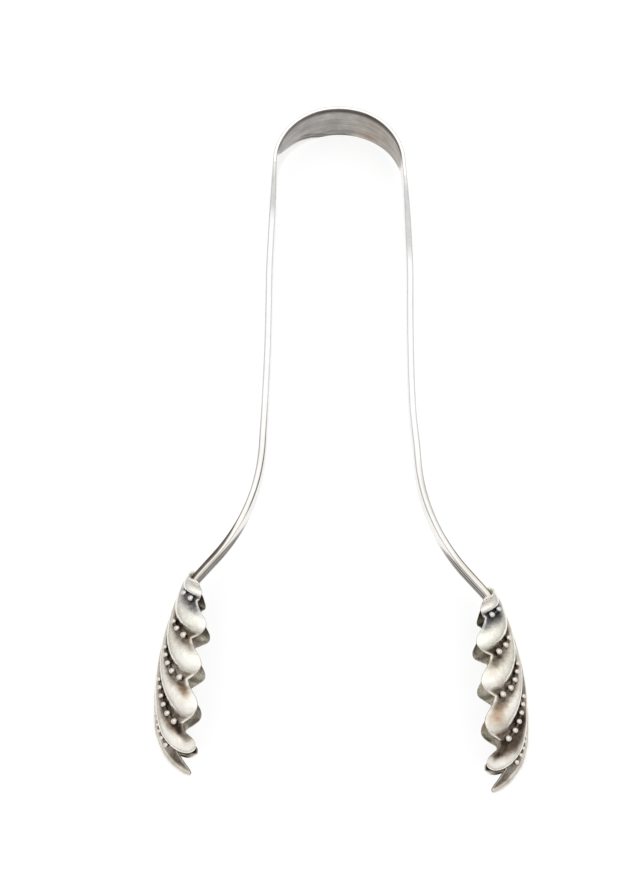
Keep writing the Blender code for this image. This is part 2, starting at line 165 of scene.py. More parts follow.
# Stage
FLOOR_HALF, FLOOR_DROP, FLOOR_COLOUR, FLOOR_GLOW = 20.0, 0.00005, (0.30, 0.30, 0.30, 1.0), 0.78
ROOM_LEVELS, HORIZON, OVERHEAD = ((0.25, 0.60), (0.50, 0.85), (0.75, 0.98)), (0.45, 0.445, 0.44, 1), (1.0, 1.0, 1.0, 1)
LAMP_POWER, LAMP_SIZE, LAMP_PLACE, LAMP_TURN = 1.4, 1.4, (0.10, 0.20, 1.15), (math.radians(-10), math.radians(5), 0)
CAMERA_TILT, CAMERA_TARGET, CAMERA_AWAY = math.radians(19.54), (0.0, -0.00126, 0.007), 0.460
PICTURE_HEIGHT, FOCAL_PIXELS, SHIFT_PIXELS, SENSOR = 879, 1870, -21, 36.0
CROWN_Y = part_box("spring_bow")[1].y


def ease(low, high, value):
    """0 below low, 1 above high, and a smooth rise between: share squared times three less twice the share."""
    share = np.clip((value - low) / (high - low), 0, 1)
    return share * share * (3 - 2 * share)


def drift(down):
    """How far hand bending has put each side towards +X: read off a table and averaged over a short distance."""
    spread = np.linspace(-DRIFT_BLEND, DRIFT_BLEND, DRIFT_SAMPLES)
    return [
        np.mean([np.interp(np.abs(down + step), DRIFT_MARKS, table) for step in spread], axis=0) / MILLIMETRES
        for table in (LEFT_DRIFTS, RIGHT_DRIFTS)
    ]


def set_out(points, side, drop):
    """Frame coordinates: outward becomes x on that side, along counts down from the crown, up from mid strip."""
    left, right = drift(drop - points[..., 1])
    x = side * points[..., 0]
    x = x + np.where(x < 0, left, right)
    return np.stack([x, points[..., 1] - drop + CROWN_Y, points[..., 2] + BAND_WIDTH / 2], -1)


def arm_drop(side):
    return BEND_OFFSET if side == RIGHT else 0.0


def follow(distance):
    """The middle line of arm and spine: runs of circular arc or straight, each carrying on the last one's heading.

    On an arc the heading grows evenly, so outward is the change of its cosine and along that of its sine,
    both divided by the bend.
    """
    runs = ARM_RUNS + SPINE_RUNS
    (outward, along), heading, passed = SHOULDER, 0.0, 0.0
    found = np.zeros(np.shape(distance) + (3,))
    for number, (length, turn) in enumerate(runs):
        ahead = distance - passed
        if number < len(runs) - 1:
            ahead = np.minimum(ahead, length)
        bend = turn / length
        here, end = heading + bend * ahead, heading + turn
        if turn:
            there = (
                outward + (math.cos(heading) - np.cos(here)) / bend,
                along - (np.sin(here) - math.sin(heading)) / bend,
                here,
            )
            outward += (math.cos(heading) - math.cos(end)) / bend
            along -= (math.sin(end) - math.sin(heading)) / bend
        else:
            there = outward + math.sin(heading) * ahead, along - math.cos(heading) * ahead, here
            outward += math.sin(heading) * length
            along -= math.cos(heading) * length
        reached = (ahead >= 0)[..., None] | (number == 0)
        found = np.where(reached, np.stack(there, -1), found)
        heading, passed = end, passed + length
    return found[..., 0], found[..., 1], found[..., 2]


# Meshes from arrays


def grid_quads(rows, columns, closed):
    """Corner numbers of a grid's quads, row by row; closed joins the last column to the first."""
    across = np.arange(columns if closed else columns - 1)
    first = np.arange(rows - 1)[:, None] * columns
    here, after = first + across, first + (across + 1) % columns
    return np.stack([here, after, after + columns, here + columns], -1).reshape(-1, 4)


def fan_triangles(ring, middle):
    """Triangles from a closed ring of corners to one in its middle."""
    return np.stack([np.roll(ring, -1), ring, np.full(len(ring), middle)], -1)


def add_piece(name, points, quads, triangles, finish, marks):
    """A closed mesh; all faces are turned over if the volume that they enclose comes out negative."""
    halves = np.concatenate([quads[:, :3], quads[:, [0, 2, 3]], triangles])
    a, b, c = (points[halves[:, k]] for k in range(3))
    if np.einsum("ij,ij->", a, np.cross(b, c)) < 0:
        quads, triangles = quads[:, ::-1], triangles[:, ::-1]
    mesh = bpy.data.meshes.new(name)
    mesh.from_pydata(points.tolist(), [], quads.tolist() + triangles.tolist())
    for mark, values in marks.items():
        flat = values.ndim == 1
        layer = mesh.attributes.new(mark, "FLOAT" if flat else "FLOAT_VECTOR", "POINT")
        layer.data.foreach_set("value" if flat else "vector", np.ascontiguousarray(values, np.float32).ravel())
    mesh.shade_smooth()
    mesh.set_sharp_from_angle(angle=SHARP_ANGLE)
    mesh.materials.append(finish)
    piece = bpy.data.objects.new(name, mesh)
    bpy.context.scene.collection.objects.link(piece)
    return piece


# Bow and arms: one rounded strip section, carried along a bent line


def strip_section():
    """The section's outline once round: along each side the share across it, with the corner's direction.

    A point is the share times half the side less the round, plus the round times the direction.
    """
    face, edge = (np.linspace(-1, 1, count)[1:-1] for count in (FACE_POINTS, EDGE_POINTS))
    corner = np.linspace(0, math.pi / 2, CORNER_POINTS)
    share_out, share_up, angle = [], [], []
    for quarter, side in enumerate((face, -edge, -face, edge)):
        ahead = np.ones(side.shape) * (1, 1, -1, -1)[quarter]
        share_out += [ahead if quarter % 2 == 0 else side, np.full(CORNER_POINTS, (1, -1, -1, 1)[quarter])]
        share_up += [side if quarter % 2 == 0 else ahead, np.full(CORNER_POINTS, (1, 1, -1, -1)[quarter])]
        angle += [np.full(side.shape, quarter * math.pi / 2), quarter * math.pi / 2 + corner]
    share_out, share_up, angle = (np.concatenate(x).astype(float) for x in (share_out, share_up, angle))
    return share_out, share_up, np.cos(angle), np.sin(angle)


def add_strip(name, middle, normal, thickness, width, edge_round, distance, place, finish, tarnish_and_shade):
    """The section carried along the middle line, square to it, with both ends closed on a middle point."""
    share_out, share_up, round_out, round_up = strip_section()
    off = share_out * (thickness[:, None] / 2 - edge_round) + edge_round * round_out
    up = share_up * (width[:, None] / 2 - edge_round) + edge_round * round_up
    outward = middle[0][:, None] + normal[0][:, None] * off
    along = middle[1][:, None] + normal[1][:, None] * off
    rows, columns = off.shape
    points = place(np.stack([outward, along, up], -1)).reshape(-1, 3)
    ends = place(np.stack([middle[0][[0, -1]], middle[1][[0, -1]], np.zeros(2)], -1))
    ring, last = np.arange(columns), rows * columns
    triangles = np.concatenate(
        [fan_triangles(ring, last), fan_triangles(ring[::-1] + last - columns, last + 1)]
    )
    facing = np.broadcast_to(round_out, off.shape)
    rising = np.broadcast_to(round_up, off.shape)
    reach = np.broadcast_to(distance[:, None], off.shape)
    across = off / (thickness[:, None] / 2)
    dark, warm, stain = tarnish_and_shade(reach, up, width[:, None] / 2 - np.abs(up), facing, rising, across)
    grain = np.stack([reach, up, off], -1).reshape(-1, 3)
    marks = {
        "tarnish_and_shade": np.r_[dark.ravel(), 0.8, 0.8],
        "warmth": np.r_[np.broadcast_to(warm, off.shape).ravel(), 1, 1],
        "stain": np.r_[stain.ravel(), 0, 0],
        "inside": np.zeros(len(grain) + 2),
        "grain": np.concatenate([grain, np.zeros((2, 3))]),
    }
    return add_piece(
        name, np.concatenate([points, ends]), grid_quads(rows, columns, True), triangles, finish, marks
    )


def bow_tarnish(reach, up, from_edge, facing, *unused):
    """Grey-brown inside the bow down to a bright border, with a brown line under the upper edge and darker and lighter
    streaks along the border; bright outside and on the edges. Lines are bell curves of the distance from them."""
    inner = ease(0.35, 0.95, -facing)
    border = np.interp(reach, BORDER_MARKS, BORDER_HEIGHTS)
    low = np.where(up > 0, 2 * up, 0) + from_edge - border
    soft = 0.0006 + 0.0016 * ease(0.015, 0.022, reach)
    fade = ease(-soft, soft, low) * ease(-0.0245, -0.0195, reach) * (1 - ease(0.0215, 0.0265, reach))
    line = np.exp(-(((from_edge - 0.0008) / 0.0009) ** 2)) * (up > 0) * (0.6 + 0.4 * ease(-0.014, -0.002, reach))
    streak = sum(
        share * np.exp(-(((low - height) / thick) ** 2))
        * ease(start, start + 0.004, reach) * (1 - ease(end - 0.004, end, reach))
        for share, height, thick, start, end in (
            (0.36, 0.0007, 0.00030, -0.0140, 0.0020), (0.26, 0.0019, 0.00035, -0.0120, 0.0050),
            (0.12, 0.0034, 0.00060, -0.0060, 0.0120), (-0.12, 0.0012, 0.00110, 0.0010, 0.0120),
        )
    )
    stain = 0.36 * inner * np.exp(-(((reach - 0.0075) / 0.003) ** 2) - ((low - 0.004) / 0.0025) ** 2)
    dark = 0.02 + 0.20 * ease(0.35, 0.95, facing) + inner * fade * (0.44 + 0.40 * line + streak)
    return dark, 0.40 + 0.4 * ease(-0.002, 0.012, reach), stain


def add_bow_half(side, finish):
    """A quarter of an ellipse from the crown, narrowing past the crown with the angle to the power 1.5, then the
    straight leg."""
    half_span, rise = BOW_SPAN / 2 - BAND_THICKNESS / 2, BOW_RISE - BAND_THICKNESS / 2
    turn = np.linspace(math.pi / 2, 0, BOW_ROWS)
    leg = np.linspace(0, BOW_LEG + arm_drop(side), LEG_ROWS)[1:]
    outward = np.r_[half_span * np.cos(turn), np.full(leg.shape, half_span)]
    along = np.r_[-BOW_RISE + rise * np.sin(turn), -BOW_RISE - leg]
    slope = np.r_[np.cos(turn) / half_span, np.ones(leg.shape)], np.r_[np.sin(turn) / rise, 0 * leg]
    size = np.hypot(*slope)
    distance = np.r_[0, np.cumsum(np.hypot(np.diff(outward), np.diff(along)))] * side
    narrowing = np.clip((math.pi / 2 - turn - CROWN_ANGLE) / (math.pi / 2 - CROWN_ANGLE), 0, 1)
    narrowing = narrowing**BOW_NARROWING
    width = BAND_WIDTH + (SHOULDER_WIDTH - BAND_WIDTH) * np.r_[narrowing, np.ones(leg.shape)]
    name = f"bow_{SIDE_NAMES[side]}_half"
    half = add_strip(
        name, (outward, along), (slope[0] / size, slope[1] / size), BAND_THICKNESS + 0 * width, width,
        BOW_ROUND, distance, lambda points: set_out(points, side, 0.0), finish, bow_tarnish,
    )
    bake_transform(half)
    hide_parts("spring_bow")


def arm_tarnish_and_reflection(side, reach, up, from_edge, facing, rising, across):
    """Bright along the grip, with a grey edge where the taper is; by the claw the edge and inner face darken.

    A painted dark reflection follows the inner corner along the flare and gives way to a painted highlight by the
    claw.
    There the edge darkens from its outer side and the inner face from its lower side, more and more towards the claw.
    Lines are bell curves of the angle round the section.
    """
    look = ARM_LOOKS[side]
    flare = ease(0.062, 0.078, reach)
    inner, outer, edge = ease(0.55, 0.98, -facing), ease(0.55, 0.98, facing), ease(0.75, 0.98, np.abs(rising))
    turn = np.arctan2(np.abs(rising), -facing)
    corner, far_corner = np.exp(-(((turn - 0.80) / 0.42) ** 2)), np.exp(-(((turn - 2.40) / 0.45) ** 2))
    taper = 1 - ease(look["taper_end"] - 0.007, look["taper_end"], reach)
    grow, grow_inner = ease(0.088, 0.108, reach), ease(*look["inner_growth"], reach)
    foot = ease(*look["foot"], reach)
    outer_side = ease(1.0 - 1.6 * grow, 1.6 - 1.6 * grow, across)
    height = up / (from_edge + np.abs(up))
    lower_side = 1 - ease(2.0 * grow_inner - 1.5, 2.0 * grow_inner - 0.8, height)
    drawn = look["tone"] - look["relief"] * np.cos(up * 2 * math.pi / look["pitch"])
    dark = 0.22 * edge * taper * (0.4 + 0.6 * ease(0.0, 0.005, reach))
    dark = dark + 0.05 * edge + 0.04 * inner * (1 - taper) + 0.18 * outer
    # Painted reflection: a dark line along the inner corner of the flare, heaviest about 87 mm along and gone by the
    # claw.
    heavy = 1 + 0.4 * np.exp(-(((reach - 0.087) / 0.005) ** 2))
    dark = dark + look["near_line"] * heavy * corner * flare * (1 - ease(0.090, 0.099, reach))
    # Painted reflection: a dark line along the outer corner, growing towards the claw.
    far_line = look["far_line"] * (1 + look["far_gain"] * foot) * far_corner
    dark = dark + far_line * (0.25 + 0.75 * flare) * (1 - taper)
    soft_edge = look["soft_edge"] * edge * ease(-0.2, 0.6, across)
    dark = dark + soft_edge * ease(0.074, 0.084, reach) * (1 - ease(0.094, 0.102, reach))
    # By the claw the edge and inner face darken but the inner corner is left out, so it stays bright as a painted
    # highlight.
    dark = dark + foot * (1 - corner) * (look["edge_tone"] * edge * outer_side + drawn * inner * lower_side)
    return np.clip(0.03 + dark, 0, 1), 0.10 + 0.30 * flare + 0.40 * foot, 0 * dark


def add_arm_strip(side, finish):
    """The arm: as wide as the bow's shoulder where it leaves it, narrowing with the square of what is left of the
    taper, and again evenly along the flare and the tongue."""
    distance = np.linspace(0, MOUTH_DISTANCE + TONGUE_LENGTH, ARM_ROWS)
    outward, along, heading = follow(distance)
    taper = np.clip(1 - distance / TAPER_LENGTH, 0, 1) ** 2
    tongue = np.clip((distance - MOUTH_DISTANCE) / TONGUE_LENGTH, 0, 1)
    flare = np.clip((distance - FLARE_DISTANCE) / (MOUTH_DISTANCE - FLARE_DISTANCE), 0, 1)
    thickness = ARM_THICKNESS + (BAND_THICKNESS - ARM_THICKNESS) * taper
    thickness += (END_THICKNESS - ARM_THICKNESS) * flare
    width = ARM_WIDTH + (SHOULDER_WIDTH - ARM_WIDTH) * taper + (END_WIDTH - ARM_WIDTH) * flare
    width += (TONGUE_WIDTH - END_WIDTH) * tongue
    name = SIDE_NAMES[side]
    arm = add_strip(
        name + "_arm_strip", (outward, along), (np.cos(heading), np.sin(heading)), thickness, width,
        ARM_ROUND, distance, lambda points: set_out(points, side, arm_drop(side)), finish,
        lambda *where: arm_tarnish_and_reflection(side, *where),
    )
    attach(arm, name + "_side")
    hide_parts(name + "_arm")


# Shell claws: a plain cup on a hooked spine, with a fan of flutes raised on it


def cup_section(station):
    """Depth, half width and squareness; both swell as a quarter ellipse from the mouth and close as one at the tip."""
    station = np.clip(station, 0, 1)
    before = np.clip((CUP_STATION - station) / (CUP_STATION - MOUTH_STATION), 0, 1)
    after = np.clip((station - CUP_STATION) / (1 + TIP_OVERRUN - CUP_STATION), 0, 1)
    swell, close = np.sqrt(1 - before**2), np.sqrt(1 - after**2)
    depth = (MOUTH_DEPTH + (CUP_DEPTH - MOUTH_DEPTH) * swell) * close
    half_width = (MOUTH_HALF_WIDTH + (CUP_HALF_WIDTH - MOUTH_HALF_WIDTH) * swell) * close
    return depth, half_width, 1 - (1 - MOUTH_SQUARENESS) * np.clip(before * 2 - 1, 0, 1)


def cup_point(station, reach):
    """The cup's inner face: half a superellipse across each station, its depth by cosine and its side by sine."""
    outward, along, heading = follow(ARM_LENGTH + station * SPINE_LENGTH)
    depth, half_width, squareness = cup_section(station)
    angle = np.clip(np.abs(reach), 0, 1) * math.pi / 2
    past = np.clip(np.abs(reach) - 1, 0, None) * math.pi / 2
    lift = END_THICKNESS / 2 + SOLDER_GAP - depth * (1 - np.cos(angle) ** squareness + past)
    up = np.sign(reach) * half_width * np.sin(angle) ** squareness
    return np.stack([outward + np.cos(heading) * lift, along + np.sin(heading) * lift, up], -1)


def cup_normal(station, reach):
    """Square to a small step along the spine and a small step round the cup."""
    step = 1e-3
    down = cup_point(station + step, reach) - cup_point(station - step, reach)
    round_it = cup_point(station, reach + step) - cup_point(station, reach - step)
    normal = np.cross(round_it, down)
    return normal / np.linalg.norm(normal, axis=-1, keepdims=True)


def nearest_flute(line):
    """Distance from the middle of the fan in flutes, and the number of the flute there, 0 the middle one."""
    place = np.abs(line)
    return place, np.clip(np.round(place), 0, FLUTES_A_SIDE).astype(int)


def fan_place(run, line):
    """Station and reach of a point part way from the mouth to the rim on a line of the fan.

    The station goes with the sine of a quarter turn and the reach with its cosine, so lines leave the mouth
    along the spine and curl out to the rim. Each lobe stands out past its valleys by a skewed half sine.
    """
    place, flute = nearest_flute(line)
    marks = np.r_[0.0, np.arange(FLUTES_A_SIDE) + 0.5, FAN_EDGE]
    rim_station = np.interp(place, marks, (1.0, *VALLEY_STATIONS, MOUTH_STATION))
    tip_share = 1 - np.clip(2 * place, 0, 1) ** TONGUE_POINT
    tongue = VALLEY_STATIONS[0] + (1 - VALLEY_STATIONS[0]) * tip_share
    lobe = np.sin(math.pi * np.clip(flute + 0.5 - place, 0, 1) ** LOBE_SKEWS[flute])
    rim_station = np.where(flute == 0, tongue, rim_station + LOBE_LEANS[flute] * lobe)
    rim_reach = np.interp(place, marks, (0.0, *VALLEY_REACHES, MOUTH_REACH))
    mouth_reach = MOUTH_WRAP * np.arcsin((place / FAN_EDGE) ** (1 / MOUTH_SQUARENESS)) * 2 / math.pi
    angle = run * math.pi / 2
    spread = (1 - FLUTE_LEAN) * (1 - np.cos(angle)) + FLUTE_LEAN * np.sin(angle)
    mouth_station = MOUTH_STATION - MOUTH_RAKE * (1 - (place / FAN_EDGE) ** 2)
    station = mouth_station + (rim_station - mouth_station) * np.sin(angle)
    lag = np.interp(place, marks, (VALLEY_LAGS[0], *VALLEY_LAGS, VALLEY_LAGS[-1]))
    reach = mouth_reach * (1 - spread) + rim_reach * spread**lag
    reach += LOBE_REACHES[flute] * lobe * spread**LOBE_ONSET
    return station, np.sign(line) * reach


def flute_profile(line):
    """Height across the fan: a quarter cosine down each side of a crest that lies off its flute's middle."""
    place, flute = nearest_flute(line)
    crest = np.where(flute > 0, -FLUTE_CREST, 0.0)
    off = place - flute - crest
    share = np.clip(np.abs(off) / (FLUTE_SHARE / 2 - np.sign(off) * crest), 0, 1)
    return np.cos(share * math.pi / 2) ** FLUTE_ROUNDNESS


def shell_point(run, line, lift=0.0):
    """The outer face: the cup moved out along its normal by the sheet, the flute and the lift."""
    station, reach = fan_place(run, line)
    half_width = cup_section(station)[1]
    rise = np.clip((run - FLUTE_ONSET) / (1 - FLUTE_ONSET), 0, 1) ** FLUTE_ROUNDNESS
    growth = rise * np.sqrt(half_width / CUP_HALF_WIDTH)
    height = SHEET_THICKNESS + FLUTE_HEIGHT * growth * flute_profile(line) + lift
    return cup_point(station, reach) + cup_normal(station, reach) * height[..., None]


def shell_tarnish_and_shade(run, line, side):
    """Bright crests and brown slopes towards the arm on each flute, partly tarnish and partly painted highlight and
    shade; brown on the valley floors, grey by the arm.

    Also how brown the tarnish is, and the rusty stains, which are bell curves round a place on the fan.
    """
    place, flute = nearest_flute(line)
    off = np.where(flute > 0, place - flute, 0.8 * place)
    look = SHELL_LOOKS[side]
    by_arm = look["by_arm"]
    # Partly tarnish, partly painted shade: each flute darkens on its slope towards the arm, which leaves its crest
    # bright as a painted highlight.
    onset = np.array((0.10, look["tip_onset"], 0.0, 0.02, 0.0, 0.30))[flute]
    slope = ease(onset, onset + 0.36, off) * np.array((0.25, look["tip_share"], 0.70, 0.62, by_arm, 0.10))[flute]
    floor = (1 - ease(0.02, 0.40, flute_profile(line))) * ease(FLUTE_ONSET, 0.25, run)
    floor = floor * np.array((0.40, 0.62, 0.64, 0.64, by_arm, by_arm))[flute] * (1 - 0.8 * ease(5.0, 5.2, place))
    rim = ease(0.94, 1.0, run)
    dark = np.maximum(0.80 * slope, floor) * (1 - 0.80 * rim) * (0.35 + 0.65 * ease(0.28, 0.62, run))
    dark = dark + 0.14 * (flute == 0) * ease(0.55, 0.75, run)
    dark = dark + 0.55 * (flute == 1) * ease(0.86, 0.95, run) * ease(-0.15, 0.1, off)
    stain = sum(
        share * np.exp(-(((place - at) / wide) ** 2) - ((run - along) / long) ** 2)
        for share, at, wide, along, long in STAINS[side]
    )
    grey = ease(3.9, 4.3, place) * (1 - ease(4.6, 4.9, place))
    return np.clip(0.03 + dark + 0.25 * stain, 0, 1), 1 - 0.85 * grey, stain


def add_shell_cup(side, finish):
    """Outer and inner face on one grid of lines and runs, joined round the border over a rounded edge."""
    steps = np.linspace(0, 1, FLUTE_COLUMNS + 1)[:-1]
    lines = np.r_[(np.arange(-FLUTES_A_SIDE, FLUTES_A_SIDE + 1)[:, None] - 0.5 + steps).ravel(), FAN_EDGE]
    runs = np.linspace(0, 1, SHELL_ROWS)
    run, line = np.meshgrid(runs, lines, indexing="ij")
    outer, inner = shell_point(run, line), shell_point(run, line, -SHEET_THICKNESS)
    rows, columns = run.shape
    number = np.arange(rows * columns).reshape(rows, columns)

    def border(table):
        return np.concatenate([table[0], table[1:, -1], table[-1, -2::-1], table[-2:0:-1, 0]])

    beside = np.pad(number[1:-1, 1:-1], 1, mode="edge")
    loop, within = border(number), border(beside)
    flat_outer, flat_inner = outer.reshape(-1, 3), inner.reshape(-1, 3)
    away = flat_outer[loop] - flat_outer[within]
    away /= np.linalg.norm(away, axis=-1, keepdims=True)
    brim = (flat_outer[loop] + flat_inner[loop]) / 2 + away * SHEET_THICKNESS * RIM_BULGE
    points = set_out(np.concatenate([flat_outer, flat_inner, brim]), side, arm_drop(side))
    faces = grid_quads(rows, columns, False)
    count = rows * columns
    after, ridge = np.roll(loop, -1), 2 * count + np.arange(len(loop))
    ridge_after = np.roll(ridge, -1)
    quads = np.concatenate(
        [
            faces,
            faces[:, ::-1] + count,
            np.stack([after, loop, ridge, ridge_after], -1),
            np.stack([ridge_after, ridge, loop + count, after + count], -1),
        ]
    )
    dark, warm, stain = (values.ravel() for values in shell_tarnish_and_shade(run, line, side))
    hollow = (0.58 - 0.24 * ease(0.74, 0.98, run)) * ease(0.02, 0.12, run) + 0.3 * ease(3.7, 4.3, np.abs(line))
    hollow = np.clip(hollow + 0.1, 0, 0.92).ravel()
    depth_stain = np.exp(-(((np.abs(line) - 3.35) / 0.25) ** 2) - ((run - 0.84) / 0.08) ** 2).ravel()
    # Painted shadow: the middle of the rim's edge round the outer part of the shell is darkened as if in shade.
    edge = np.where(run.ravel()[loop] > 0.9, 0.62, 0.12)
    green = SHELL_LOOKS[side]["green"] * ease(2.6, 3.0, np.abs(line)) * (1 - ease(4.2, 4.4, np.abs(line)))
    green = green.ravel()
    grain = np.stack([line * FAN_GRAIN[0], run * FAN_GRAIN[1], 0 * run], -1).reshape(-1, 3)
    marks = {
        "tarnish_and_shade": np.r_[dark, hollow, edge],
        "warmth": np.r_[warm, 0.8 * warm, warm[loop]],
        "stain": np.r_[stain, 0.4 * stain + 0.8 * depth_stain, stain[loop]],
        "inside": np.r_[green, np.ones(count), green[loop]],
        "grain": np.concatenate([grain, grain, grain[loop]]),
    }
    name = SIDE_NAMES[side]
    shell = add_piece(name + "_shell_cup", points, quads, np.zeros((0, 3), int), finish, marks)
    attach(shell, name + "_side")
    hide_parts(name + "_shell_claw")


# Beaded wires


def add_beaded_wire(side, face, valley, finish):
    """A wire along the valley, its radius the larger of the neck and of a row of circles that shrink inwards."""
    start, end = BEAD_STARTS[valley], BEAD_ENDS[valley]
    runs = np.linspace(end, start - WIRE_RUN_ON, WIRE_POINTS)
    line = np.full(runs.shape, face * (valley + 0.5))
    share = np.clip((runs - start) / (end - start), 0, 1)
    sizes = BEAD_SMALL[valley] + (BEAD_LARGE[valley] - BEAD_SMALL[valley]) * share
    floor = shell_point(runs, line)
    above = shell_point(runs, line, np.full(runs.shape, 0.001)) - floor
    above /= np.linalg.norm(above, axis=-1, keepdims=True)
    path = floor + above * (sizes / 2 - BEAD_SINK)[:, None]
    gone = np.r_[0, np.cumsum(np.linalg.norm(np.diff(path, axis=0), axis=1))]
    limit = np.interp(start, runs[::-1], gone[::-1])
    middles, radii, at, size = [], [], 0.0, sizes[0]
    while at + size < limit:
        middles.append(at + BEAD_OFFSET * size)
        radii.append(size / 2)
        at += BEAD_PITCH * size
        size = np.interp(at, gone, sizes)
    middles, radii = np.array(middles)[:, None], np.array(radii)[:, None]
    swing = np.linspace(0, math.pi, BEAD_RINGS)
    where = (middles - radii * np.cos(swing)).ravel()
    radius = np.maximum(radii * np.sin(swing), radii * BEAD_NECK).ravel()
    bulge = np.broadcast_to(np.sin(swing), (len(radii), BEAD_RINGS)).ravel()
    radius[[0, -1]] *= BEAD_END
    centre, lift = (
        np.stack([np.interp(where, gone, table[:, k]) for k in range(3)], -1) for table in (path, above)
    )
    ahead = np.gradient(centre, axis=0)
    ahead /= np.linalg.norm(ahead, axis=-1, keepdims=True)
    lift -= ahead * np.sum(lift * ahead, -1, keepdims=True)
    lift /= np.linalg.norm(lift, axis=-1, keepdims=True)
    across = np.cross(ahead, lift)
    angle = np.linspace(0, 2 * math.pi, BEAD_CORNERS, endpoint=False)
    ring = lift[:, None] * np.cos(angle)[:, None] + across[:, None] * np.sin(angle)[:, None]
    points = (centre[:, None] + ring * radius[:, None, None]).reshape(-1, 3)
    rows, columns = len(where), len(angle)
    last = rows * columns
    points = set_out(np.concatenate([points, centre[[0, -1]]]), side, arm_drop(side))
    corner = np.arange(columns)
    triangles = np.concatenate(
        [fan_triangles(corner, last), fan_triangles(corner[::-1] + last - columns, last + 1)]
    )
    # Painted shade and highlight: each bead is darkened on its underside and at the necks between beads, so only its
    # top stays bright.
    under = 1 - ease(-0.40, 0.75, np.cos(angle))
    dark = 0.08 + np.maximum(0.66 * under[None, :], 0.62 * (1 - ease(0.35, 0.75, bulge))[:, None])
    marks = {
        "tarnish_and_shade": np.r_[dark.ravel(), 0.8, 0.8],
        "warmth": np.full(len(points), 0.2 if valley == FLUTES_A_SIDE - 1 else 0.8),
        "inside": np.zeros(len(points)),
        "grain": points,
    }
    facing = "upper" if face > 0 else "lower"
    name, number = SIDE_NAMES[side], valley + 1
    wire = add_piece(
        f"{name}_{facing}_beaded_wire_{number}", points, grid_quads(rows, columns, True), triangles, finish, marks
    )
    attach(wire, name + "_side")
    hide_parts(f"{name}_{facing}_bead_row_{number}")


# Finishes


def silver(name, bright, streak_share, mottle_share, gloss, dents):
    """Old silver: the mark of tarnish and painted shade, made uneven by two noises and by streaks along the grain,
    picks the colour from polished through grey-brown to nearly black, and the roughness with it."""
    finish = bpy.data.materials.new(name)
    finish.use_nodes = True
    tree = finish.node_tree
    shader = tree.nodes["Principled BSDF"]

    def add(kind, **values):
        made = tree.nodes.new("ShaderNode" + kind)
        for key, value in values.items():
            if key in made.inputs.keys():
                made.inputs[key].default_value = value
            else:
                setattr(made, key, value)
        return made

    def join(source, target):
        tree.links.new(source, target)

    def total(first, second, kind="ADD", clamp=False):
        made = add("Math", operation=kind, use_clamp=clamp)
        for socket, value in zip(made.inputs, (first, second)):
            if isinstance(value, (int, float)):
                socket.default_value = value
            else:
                join(value, socket)
        return made.outputs[0]

    def blend_colours(share, first, second, kind="MIX"):
        made = add("Mix", data_type="RGBA", blend_type=kind)
        for socket, value in zip((made.inputs[0], made.inputs[6], made.inputs[7]), (share, first, second)):
            if isinstance(value, tuple):
                socket.default_value = value
            else:
                join(value, socket)
        return made.outputs[2]

    place = add("TexCoord").outputs["Object"]
    warmth = add("Attribute", attribute_name="warmth").outputs["Fac"]
    # This mark holds tarnish together with painted shade, highlights and reflections.
    tarnish_and_shade = add("Attribute", attribute_name="tarnish_and_shade").outputs["Fac"]
    inside = add("Attribute", attribute_name="inside").outputs["Fac"]
    grain = add("Attribute", attribute_name="grain").outputs["Vector"]
    stretch = add("Mapping")
    stretch.inputs["Scale"].default_value = (0.03, 1.0, 1.0)
    join(grain, stretch.inputs["Vector"])

    def noise(where, scale, detail):
        made = add("TexNoise", Scale=scale, Detail=detail, Roughness=0.62)
        join(where, made.inputs["Vector"])
        return made.outputs["Fac"]

    clouds, specks = noise(place, 230.0, 5.0), noise(place, 1500.0, 4.0)
    streaks = noise(stretch.outputs["Vector"], 2600.0, 5.0)
    uneven = total(total(clouds, 0.5, "SUBTRACT"), mottle_share, "MULTIPLY")
    grit = total(total(specks, 0.5, "SUBTRACT"), mottle_share * 0.25, "MULTIPLY")
    drawn = total(total(streaks, 0.5, "SUBTRACT"), streak_share, "MULTIPLY")
    strength = total(total(total(uneven, grit), drawn), total(tarnish_and_shade, 0.35, clamp=True), "MULTIPLY")
    depth = total(tarnish_and_shade, strength, clamp=True)

    ramp = add("ValToRGB")
    stops = ((0.0, bright), *TARNISH_AND_SHADE_STOPS)
    while len(ramp.color_ramp.elements) < len(stops):
        ramp.color_ramp.elements.new(0.5)
    for element, (at, colour) in zip(ramp.color_ramp.elements, stops):
        element.position, element.color = at, (*colour, 1.0)
    join(depth, ramp.inputs["Fac"])

    grey = add("RGBToBW")
    join(ramp.outputs["Color"], grey.inputs[0])
    warm = blend_colours(warmth, grey.outputs[0], ramp.outputs["Color"])
    patches = noise(place, 150.0, 3.0)
    rust = add("MapRange")
    rust.inputs["From Min"].default_value, rust.inputs["From Max"].default_value = 0.66, 0.86
    join(patches, rust.inputs["Value"])
    spread = total(rust.outputs[0], total(warmth, depth, "MULTIPLY"), "MULTIPLY")
    stain = add("Attribute", attribute_name="stain").outputs["Fac"]
    stained = total(total(stain, total(clouds, 1.3, "MULTIPLY"), "MULTIPLY"), spread, clamp=True)
    spotted = blend_colours(stained, warm, RUST)
    olive = blend_colours(total(inside, 0.8, "MULTIPLY"), spotted, OLIVE, "MULTIPLY")
    join(olive, shader.inputs["Base Color"])
    shader.inputs["Metallic"].default_value = 1.0

    rough = add("MapRange")
    rough.inputs["To Min"].default_value, rough.inputs["To Max"].default_value = gloss, TARNISHED_ROUGHNESS
    join(depth, rough.inputs["Value"])
    join(total(rough.outputs[0], total(grit, 0.25, "MULTIPLY"), clamp=True), shader.inputs["Roughness"])

    bump = add("Bump", Strength=0.10, Distance=0.0002)
    fine = total(streaks, total(specks, 0.3, "MULTIPLY"))
    join(total(fine, total(noise(place, 620.0, 2.0), dents, "MULTIPLY")), bump.inputs["Height"])
    join(bump.outputs["Normal"], shader.inputs["Normal"])
    return finish


# Stage


